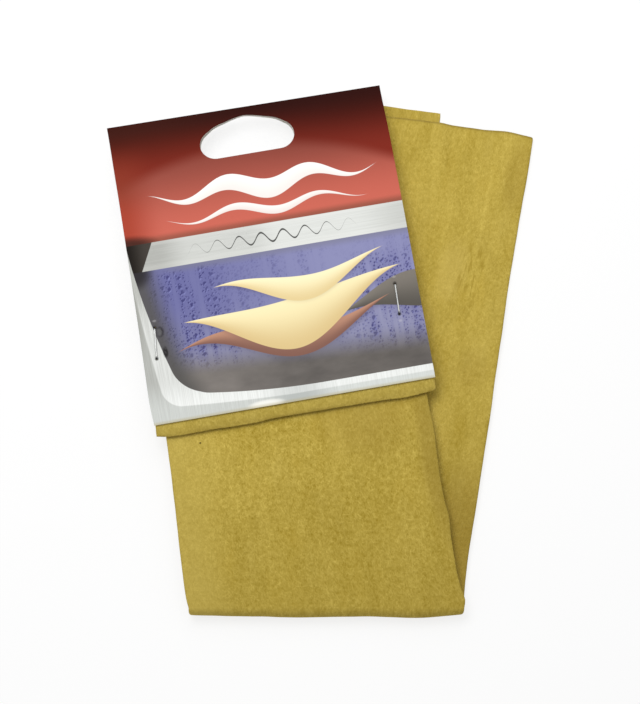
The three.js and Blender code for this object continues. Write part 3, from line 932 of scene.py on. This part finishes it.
# One row across the strip: its width, where its points lie, and how far in its two raw edges lie
Ring = namedtuple("Ring", "width place cutback raw_step", defaults=(0, RAW_EDGE_STEP))


def ply_shares(count, cut_at_start=False, cut_at_end=False):
    """Shares along a stretch, with a few more close to a cut edge."""
    fine = [EDGE_TAPER / FOLD_WIDTH * share for share in FINE_SHARES]
    shares = [step / count for step in range(count + 1)]
    if cut_at_start:
        shares = [0] + fine + [share for share in shares if share > FINE_CLEARANCE * fine[-1]]
    if cut_at_end:
        shares = [share for share in shares if share < 1 - FINE_CLEARANCE * fine[-1]]
        shares += [1 - share for share in reversed(fine)] + [1]
    return shares


def section_columns():
    """Every column of the skin as (stretch, share), from ply A's cut edge to ply B's."""
    folded = [step / PLY_FOLD_STEPS for step in range(1, PLY_FOLD_STEPS)]
    middle = [step / MIDDLE_PLY_STEPS for step in range(MIDDLE_PLY_STEPS + 1)]
    stretches = (
        ("A", ply_shares(PLY_STEPS, cut_at_start=True)), ("right fold", folded), ("middle", middle),
        ("left fold", folded), ("B", ply_shares(PLY_STEPS, cut_at_end=True)),
    )
    return [(stretch, share) for stretch, shares in stretches for share in shares]


def section_point(stretch, share, ring, wander):
    """Place of a column in the folded section, as (across, depth)."""
    near = LEATHER_THICKNESS / 2
    outer = PLY_FOLD_RADIUS + near
    right = ring.width - outer
    if stretch == "A":
        return mix(ring.raw_step + wander, right, share), near
    if stretch == "middle":
        return mix(right, outer, share), near + PLY_PITCH
    if stretch == "B":
        cut = ring.width - RAW_EDGE_STEP - ring.cutback + wander
        return mix(outer, cut, share), near + 2 * PLY_PITCH
    turn = (share - 0.5) * math.pi
    reach, down = PLY_FOLD_RADIUS * math.cos(turn), PLY_FOLD_RADIUS * math.sin(turn)
    if stretch == "right fold":
        return right + reach, outer + down
    return outer - reach, outer + PLY_PITCH + down


def ply_at(depth):
    """The ply at a depth: 0 for ply A, 2 for ply B, and between them in the folds."""
    return (depth - LEATHER_THICKNESS / 2) / PLY_PITCH


def straight_ring(left, right, height, push=None, **edges):
    """A ring between two plan points. height and push are functions of across and depth."""
    width = (right - left).length
    across = (right - left).normalized()
    onward = Vector((-across.y, across.x))

    def place(distance, depth):
        point = left + across * distance
        if push:
            point += onward * push(distance / width, depth)
        return Vector((point.x, point.y, height(distance, depth)))

    return Ring(width, place, **edges)


def edge_point(start, end, share, bow_shares, seed):
    """A point of a leg's edge, bowed from the straight line between its ends, with small waves."""
    point = start.lerp(end, share)
    length = (end - start).length
    ends = smooth(0, 0.06, share) * (1 - smooth(0.94, 1, share))
    broad, narrow = EDGE_WAVE_LENGTHS
    wander = edge_ripple(share * length, broad, seed)
    wander += 0.5 * edge_ripple(share * length, narrow, seed + 7)
    point.x += FOLD_WIDTH * curve_through(bow_shares, share) + EDGE_WANDER * ends * wander
    return point


def lump(distance, along, depth):
    """Small uneven places of one ply. Each ply has its own."""
    ply = round(depth / PLY_PITCH)
    return LUMP_HEIGHT * ripple(distance, along, LUMP_LENGTH, LUMP_LENGTH * 1.3, 11.3 * ply)


FOLD_LEFT = Vector((FOLD.x - FOLD_WIDTH / 2, FOLD.y))
FOLD_RIGHT = Vector((FOLD.x + FOLD_WIDTH / 2, FOLD.y))
TAIL_UPWARD = Vector((math.sin(TAIL_LEAN), math.cos(TAIL_LEAN)))
TAIL_LEFTWARD = Vector((-math.cos(TAIL_TOP_SLOPE), math.sin(TAIL_TOP_SLOPE)))
TAIL_TOP_RIGHT = FOLD_RIGHT + TAIL_RIGHT_LENGTH * TAIL_UPWARD
TAIL_TOP_LEFT = TAIL_TOP_RIGHT + TAIL_TOP_WIDTH * TAIL_LEFTWARD
STRAIGHT_SHARES = ((0, 0), (1, 0))
LEG_EDGE_GROWTH = LEG_RAW_EDGE_STEP - RAW_EDGE_STEP
CARD_LEFT = -CARD_WIDTH / 2 + LEATHER_INSET
CARD_RIGHT = CARD_WIDTH / 2 - LEATHER_INSET


def tail_ring(share):
    """The tail, with ply A on top. Its upper plies hang down where the back ply is cut back."""
    left = edge_point(FOLD_LEFT, TAIL_TOP_LEFT, share, STRAIGHT_SHARES, 3.1)
    right = edge_point(FOLD_RIGHT, TAIL_TOP_RIGHT, share, TAIL_RIGHT_BOW_SHARES, 5.7)
    cutback = TAIL_BACK_PLY_CUTBACK * curve_through(TAIL_CUTBACK_SHARES, share)
    width = (right - left).length
    along = share * TAIL_RIGHT_LENGTH
    free = smooth(0, TAIL_FREE_SHARE, share)
    end = max(0, (share - TAIL_END_START) / (1 - TAIL_END_START))
    back_edge = width - RAW_EDGE_STEP - cutback
    ply_ends = (0, -TAIL_MIDDLE_PLY_SHORT, TAIL_BACK_PLY_PROUD)

    def height(distance, depth):
        drop = TAIL_DROP * free * waves(TAIL_WAVES, distance, along) * (1 - depth / STRIP_THICKNESS)
        hang = smooth(0, SAG_LENGTH, distance - back_edge) * smooth(0, SAG_LENGTH, cutback)
        fall = PLY_PITCH * hang if depth < 2 * PLY_PITCH else 0
        return STRIP_THICKNESS - depth - drop - fall + free * lump(distance, along, depth)

    def push(place, depth):
        ply = min(2, round(ply_at(depth)))
        wave = LEATHER_THICKNESS * curve_through(TAIL_END_WAVE_SHARES, place) * (1 if ply < 2 else 0.2)
        seed = 20 + 9 * depth / PLY_PITCH
        wander = CUT_WANDER * edge_ripple(place * width, TAIL_CUT_WAVE_LENGTH, seed)
        return end * (ply_ends[ply] + wave + wander)

    return straight_ring(left, right, height, push, cutback=cutback)


def bottom_bend_ring(share):
    """The bend between the tail and the front leg, narrower in reach towards both ends."""
    turn = (share - 0.5) * math.pi

    def place(distance, depth):
        radius = BOTTOM_BEND_RADIUS + depth
        reach_share = curve_through(BOTTOM_REACH_SHARES, distance / FOLD_WIDTH)
        reach_share += BEND_WAVE_SHARE * edge_ripple(distance, BEND_WAVE_LENGTH, 31.4)
        reach = radius * math.cos(turn) * reach_share
        return Vector((FOLD_LEFT.x + distance, FOLD.y - reach, FOLD.z + radius * math.sin(turn)))

    return Ring(FOLD_WIDTH, place, cutback=share * LEG_EDGE_GROWTH)


def leg_ring(share):
    """The front leg up to the card's lower edge, with ply A underneath."""
    left = edge_point(FOLD_LEFT, on_card(CARD_LEFT, 0), share, FRONT_LEFT_BOW_SHARES, 13.2)
    right = edge_point(FOLD_RIGHT, on_card(CARD_RIGHT, 0), share, FRONT_RIGHT_BOW_SHARES, 17.9)
    along = share * FRONT_LEG_LENGTH
    free = smooth(0, LEG_FREE_SHARE, share) * (1 - smooth(*LEG_HELD_SHARES, share))
    base = mix(LEG_START, FRONT_LEG_BOTTOM, min(1, share / LEG_RISE_SHARE))

    def height(distance, depth):
        lift = LEG_LIFT * free * waves(LEG_WAVES, distance, along) * depth / STRIP_THICKNESS
        return base + depth + lift + free * lump(distance, along, depth)

    return straight_ring(left, right, height, cutback=LEG_EDGE_GROWTH)


def hidden_leg_ring(share):
    """The front leg inside the card."""
    left = on_card(CARD_LEFT, TOP_BEND_RISE * share)
    right = on_card(CARD_RIGHT, TOP_BEND_RISE * share)
    growth = LEG_EDGE_GROWTH * (1 - smooth(0.05, 0.4, share))
    return straight_ring(left, right, lambda distance, depth: FRONT_LEG_BOTTOM + depth, cutback=growth)


def top_bend_ring(share):
    """The bend inside the card, over which the strip comes to the front."""
    turn = (share - 0.5) * math.pi
    start = on_card(CARD_LEFT, TOP_BEND_RISE)
    across = (on_card(CARD_RIGHT, TOP_BEND_RISE) - start).normalized()
    onward = Vector((-across.y, across.x))

    def place(distance, depth):
        radius = TOP_BEND_RADIUS - depth
        point = start + across * distance + onward * radius * math.cos(turn)
        return Vector((point.x, point.y, TOP_BEND_HEIGHT + radius * math.sin(turn)))

    return Ring(CARD_RIGHT - CARD_LEFT, place)


def flap_ring(share):
    """The strip's end in front of the leg, with ply A on top, hanging down below the card."""
    rise = mix(TOP_BEND_RISE, -FLAP_PROUD, share)
    left = on_card(mix(CARD_LEFT, -CARD_WIDTH / 2 - FLAP_LEFT_PROUD, share), rise)
    right = on_card(mix(CARD_RIGHT, CARD_WIDTH / 2 - FLAP_RIGHT_INSET, share), rise)
    width = (right - left).length
    along = TOP_BEND_RISE * (1 - share)
    end = smooth(FLAP_HANG_START, 1, share)

    def push(place, depth):
        ply = ply_at(depth)
        short = FLAP_MIDDLE_PLY_SHORT * min(1, ply)
        short += (FLAP_BACK_PLY_SHORT - FLAP_MIDDLE_PLY_SHORT) * max(0, ply - 1)
        overhang = FLAP_PROUD * (1 - curve_through(FLAP_END_SHARES, place))
        wander = CUT_WANDER * edge_ripple(place * FOLD_WIDTH, CUT_WAVE_LENGTH, 40 + 9 * ply)
        return end * (overhang + short + wander)

    def height(distance, depth):
        ply = ply_at(depth)
        below_card = -rise - push(distance / width, depth)
        droop = FLAP_DROOP * smooth(0, FLAP_DROOP_REACH, below_card) * (1 - smooth(1, 2, ply))
        lip = FLAP_LIP_DROP * smooth(FLAP_PROUD - FLAP_LIP_REACH, FLAP_PROUD, below_card)
        wave = FLAP_WAVE * end * (1 + ripple(distance, along, *FLAP_WAVE_LENGTHS, 23.5))
        return FLAP_TOP - depth - droop - lip * (1 - smooth(0, 1, ply)) - wave * (1 - ply / 2)

    raw_step = mix(RAW_EDGE_STEP, FLAP_RAW_EDGE_STEP, end)
    return straight_ring(left, right, height, push, raw_step=raw_step)


def skin_rings():
    """Every ring of the skin, from the tail's cut end to the flap's."""
    rings = [tail_ring(1 - share) for share in ply_shares(TAIL_STEPS, cut_at_start=True)]
    rings += [bottom_bend_ring(step / BOTTOM_BEND_STEPS) for step in range(1, BOTTOM_BEND_STEPS)]
    counts = {leg_ring: 58, hidden_leg_ring: 14, top_bend_ring: 8}
    for make_ring, steps in counts.items():
        rings += [make_ring(step / steps) for step in range(steps)]
    rings += [flap_ring(FLAP_FINE_START * step / FLAP_STEPS) for step in range(FLAP_STEPS)]
    end_shares = [step / FLAP_FINE_STEPS for step in range(FLAP_FINE_STEPS - 1)]
    rings += [flap_ring(mix(FLAP_FINE_START, 1, share)) for share in end_shares]
    fine = (*reversed(FINE_SHARES), 0)
    return rings + [flap_ring(1 - share * EDGE_TAPER / TOP_BEND_RISE) for share in fine]


def distances(points):
    """How far along a line each of its points lies."""
    reached = [0]
    for start, end in zip(points, points[1:]):
        reached.append(reached[-1] + (end - start).length)
    return reached


def make_skin(suede):
    """The whole skin as one sheet: a grid laid along the folded section, then given its thickness."""
    columns = section_columns()
    rings = skin_rings()
    mesh = bmesh.new()
    weight = mesh.verts.layers.deform.verify()
    edge = mesh.verts.layers.float.new("cut_edge")
    places = numbered_grid(mesh, len(columns), len(rings))
    spots = {}
    for vertex, column, row in places:
        ring = rings[row]
        stretch, share = columns[column]
        wander = CUT_WANDER * edge_ripple(0.0015 * row, CUT_WAVE_LENGTH, 50 if stretch == "A" else 60)
        across, depth = section_point(stretch, share, ring, wander)
        vertex.co = ring.place(across, depth)
        spots[(column, row)] = vertex.co.copy()

    # Distances over the sheet, down its middle ply and across the bottom fold
    middle = len(columns) // 2
    fold_row = len(ply_shares(TAIL_STEPS, cut_at_start=True))
    along = distances([spots[(middle, row)] for row in range(len(rings))])
    across = distances([spots[(column, fold_row)] for column in range(len(columns))])
    flat = {}
    for vertex, column, row in places:
        to_cut = min(across[column], across[-1] - across[column], along[row], along[-1] - along[row])
        rounding = math.sqrt(1 - (1 - min(1, to_cut / EDGE_TAPER)) ** 2)
        vertex[weight][0] = mix(CUT_EDGE_SHARE, 1, rounding)
        vertex[edge] = 1 - smooth(0, 2 * EDGE_TAPER, to_cut)
        flat[vertex] = (across[column] / SKIN_UV_SIZE, along[row] / SKIN_UV_SIZE)
    lay_flat(mesh, flat)
    skin = new_piece("chamois_skin", mesh, suede)
    skin.vertex_groups.new(name="thickness")
    configure(
        skin.modifiers.new("thickness", "SOLIDIFY"), thickness=LEATHER_THICKNESS, offset=0,
        vertex_group="thickness", use_quality_normals=True,
    )
    apply_modifiers(skin)
    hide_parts("skin_tail", "skin_bottom_fold", "skin_front")
    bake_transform(skin)
    return skin


# The header card

def graded(start, end, centres):
    """Places from start to end, close together near the centres."""
    places = [start]
    reach = CARD_FINE_REACH + CARD_COARSE_STEP
    while places[-1] < end:
        near = any(abs(places[-1] - centre) < reach for centre in centres)
        places.append(places[-1] + (CARD_FINE_STEP if near else CARD_COARSE_STEP))
    spare = end - places[-1]
    return [place + spare * step / (len(places) - 1) for step, place in enumerate(places)]


def dimple(across, rise):
    """How far the staples' legs draw the board in, from 0 to 1: a hollow with a sharper pit."""
    depth = 0
    for leg_across, leg_rise in LEGS:
        distance = math.hypot(across - leg_across, rise - leg_rise)
        hollow = 1 - smooth(0, DIMPLE_REACH, distance)
        pit = 1 - smooth(0, DIMPLE_REACH / 2, distance)
        depth = max(depth, (hollow + pit) / 2)
    return depth


def cut_place(across, rise):
    """Where a place of a square card lies on this one, whose crease and left side aren't true."""
    share = rise / CARD_HEIGHT
    bow = curve_through(CARD_LEFT_BOW, share) * (0.5 - across / CARD_WIDTH)
    return across - bow, rise + share * (CREASE_RAISE - across * CREASE_SKEW)


def panel_height(across, rise, drawn, front):
    """Height of a panel's middle: level over the leather, and sloping to the crease."""
    level = (FRONT_PANEL_BOTTOM if front else BACK_PANEL_BOTTOM) + BOARD_THICKNESS / 2
    crease = CREASE_HEIGHT + CREASE_RADIUS if front else CREASE_HEIGHT - CREASE_RADIUS
    open_share = smooth(0, 1, (CREASE_RISE - rise) / (CREASE_RISE - SLOPE_START))
    height = mix(crease, level, open_share)
    sides = 1 - (2 * across / CARD_WIDTH) ** 4
    foot = mix(PUFF_AT_FOOT, 1, smooth(0, PUFF_FOOT_REACH, rise))
    wave = 1 + PUFF_WAVE_SHARE * ripple(across, rise, *CARD_WAVE_LENGTHS, 71)
    puff = open_share * mix(PUFF_AT_SIDES, 1, sides) * foot * wave
    if front:
        return height + FRONT_PANEL_PUFF * puff - DIMPLE_DEPTH * drawn
    return height - BACK_PANEL_PUFF * puff + BACK_DIMPLE_SHARE * DIMPLE_DEPTH * drawn


def card_rows():
    """Rows round the card as (panel, value): rises on the panels, and turns at the crease."""
    rises = graded(0, CREASE_RISE, [rise for across, rise in LEGS])
    rows = [("front", rise) for rise in rises]
    rows += [("crease", (0.5 - step / CREASE_STEPS) * math.pi) for step in range(1, CREASE_STEPS)]
    rows += [("back", rise) for rise in reversed(rises) if rise > BACK_PANEL_SHORT]
    return rows


def slot_outline():
    """The slot's outline: two round ends, a straight foot, and a long hump in its upper side."""
    end = SLOT_LENGTH / 2 - SLOT_END_RADIUS
    centre = CARD_HEIGHT - SLOT_DEPTH + SLOT_END_RADIUS
    half = []
    for step in range(SLOT_END_STEPS + 1):
        turn = mix(-math.pi / 2, SLOT_END_TURN, step / SLOT_END_STEPS)
        spread, rise = SLOT_END_RADIUS * math.cos(turn), SLOT_END_RADIUS * math.sin(turn)
        half.append((end + spread, centre + rise))
    half += [(distance, CARD_HEIGHT - depth) for distance, depth in SLOT_UPPER_SIDE]
    points = [(SLOT_MIDDLE + across, rise) for across, rise in half]
    points += [(SLOT_MIDDLE - across, rise) for across, rise in reversed(half)]
    return points


def make_card_cutter(paper_edge):
    """A solid that cuts the slot and the staples' holes out of both panels."""
    mesh = bmesh.new()
    foot = [mesh.verts.new((across, rise, 0)) for across, rise in slot_outline()]
    grown = bmesh.ops.extrude_face_region(mesh, geom=[mesh.faces.new(foot)])
    top = [item for item in grown["geom"] if isinstance(item, bmesh.types.BMVert)]
    height = 2 * FRONT_PANEL_TOP
    bmesh.ops.translate(mesh, verts=top, vec=(0, 0, height))
    radius = STAPLE_HOLE_RADIUS
    for across, rise in staple_places(STAPLE_HOLE_OFFSET):
        bmesh.ops.create_cone(
            mesh, cap_ends=True, segments=HOLE_SIDES, radius1=radius, radius2=radius, depth=height,
            matrix=Matrix.Translation((across, rise, height / 2)),
        )
    bmesh.ops.recalc_face_normals(mesh, faces=mesh.faces)
    mesh.transform(CARD_PLACE)
    return new_piece("card_cutter", mesh, paper_edge)


def make_card(printed, board, paper_edge):
    """The header card: one board folded at its crease, printed outside on its front panel."""
    columns = graded(-CARD_WIDTH / 2, CARD_WIDTH / 2, [across for across, rise in LEGS])
    rows = card_rows()
    mesh = bmesh.new()
    places = numbered_grid(mesh, len(columns), len(rows))
    flat = {}
    for vertex, column, row in places:
        panel, value = rows[row]
        if panel == "crease":
            across, rise = cut_place(columns[column], CREASE_RISE + CREASE_RADIUS * math.cos(value))
            height = CREASE_HEIGHT + CREASE_RADIUS * math.sin(value)
        else:
            across, rise = cut_place(columns[column], value)
            height = panel_height(columns[column], value, dimple(across, rise), panel == "front")
        vertex.co = (across, rise, height)
        flat[vertex] = ((across + CARD_WIDTH / 2) / CARD_HEIGHT, rise / CARD_HEIGHT)
    lay_flat(mesh, flat)
    behind = {vertex for vertex, column, row in places if rows[row][0] == "back"}
    for face in mesh.faces:
        face.material_index = 1 if behind.intersection(face.verts) else 0
    bmesh.ops.recalc_face_normals(mesh, faces=mesh.faces)
    mesh.transform(CARD_PLACE)
    card = new_piece("printed_header_card", mesh, printed, board, paper_edge)
    configure(
        card.modifiers.new("board", "SOLIDIFY"), thickness=BOARD_THICKNESS, offset=0,
        material_offset=1, material_offset_rim=2,
    )
    cutter = make_card_cutter(paper_edge)
    configure(
        card.modifiers.new("slot and holes", "BOOLEAN"), operation="DIFFERENCE", object=cutter,
        solver="EXACT", material_mode="TRANSFER",
    )
    apply_modifiers(card)
    bpy.data.objects.remove(cutter)
    card.data.set_sharp_from_angle(angle=CARD_SHARP_ANGLE)
    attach(card, "packet")
    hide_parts("header_card")
    return card


# Surroundings

def seen_share(tree):
    """1 for what the camera sees, also mirrored or through glass, and 0 for light."""
    path = add_node(tree, "LightPath").outputs
    seen = Field(path["Is Camera Ray"]).at_least(path["Is Glossy Ray"])
    return seen.at_least(path["Is Transmission Ray"])


def make_floor(whiteness):
    """A plain pale floor. Where it is seen, part of it is plain white, so its shadow is faint."""
    mesh = bmesh.new()
    bmesh.ops.create_grid(mesh, x_segments=1, y_segments=1, size=FLOOR_REACH)
    bmesh.ops.translate(mesh, verts=mesh.verts, vec=(0, 0, -FLOOR_DROP))
    material, tree = new_material("white_floor")
    shader = tree.nodes["Principled BSDF"]
    feed(shader, {"Base Color": (0.97, 0.97, 0.97, 1), "Roughness": 1, "Specular IOR Level": 0})
    white = add_node(tree, "Emission", {"Color": (1, 1, 1, 1), "Strength": 1.0})
    parts = {0: seen_share(tree) * whiteness, 1: shader.outputs[0], 2: white.outputs[0]}
    feed(tree.nodes["Material Output"], {"Surface": add_node(tree, "MixShader", parts).outputs[0]})
    new_piece("floor", mesh, material)


def make_world(ambient):
    """An even white surrounding: full white where it is seen or mirrored, and softer as light."""
    world = bpy.data.worlds.new("studio")
    world.use_nodes = True
    bpy.context.scene.world = world
    tree = world.node_tree
    strength = seen_share(tree) * (1 - ambient) + ambient
    feed(tree.nodes["Background"], {"Color": (1, 1, 1, 1), "Strength": strength})


def make_lamp(name, place, size, power):
    data = configure(bpy.data.lights.new(name, "AREA"), shape="SQUARE", size=size, energy=power)
    lamp = new_object(name, data)
    lamp.location = place
    lamp.rotation_euler = (-Vector(place)).to_track_quat("-Z", "Y").to_euler()


make_camera()
make_skin(make_suede())
make_card(make_print(), make_board(), make_paper_edge())
steel = make_staple_steel()
for name in ("staple_left", "staple_right"):
    for slot in frame["nodes"][name].material_slots:
        slot.material = steel
make_floor(whiteness=0.78)
make_world(ambient=0.50)
make_lamp("key", place=(-0.15, 0.20, 0.55), size=0.3, power=1.75)
make_lamp("top", place=(0.03, 0.36, 0.42), size=0.3, power=0.65)

scene = bpy.context.scene
scene.view_settings.view_transform = "Standard"
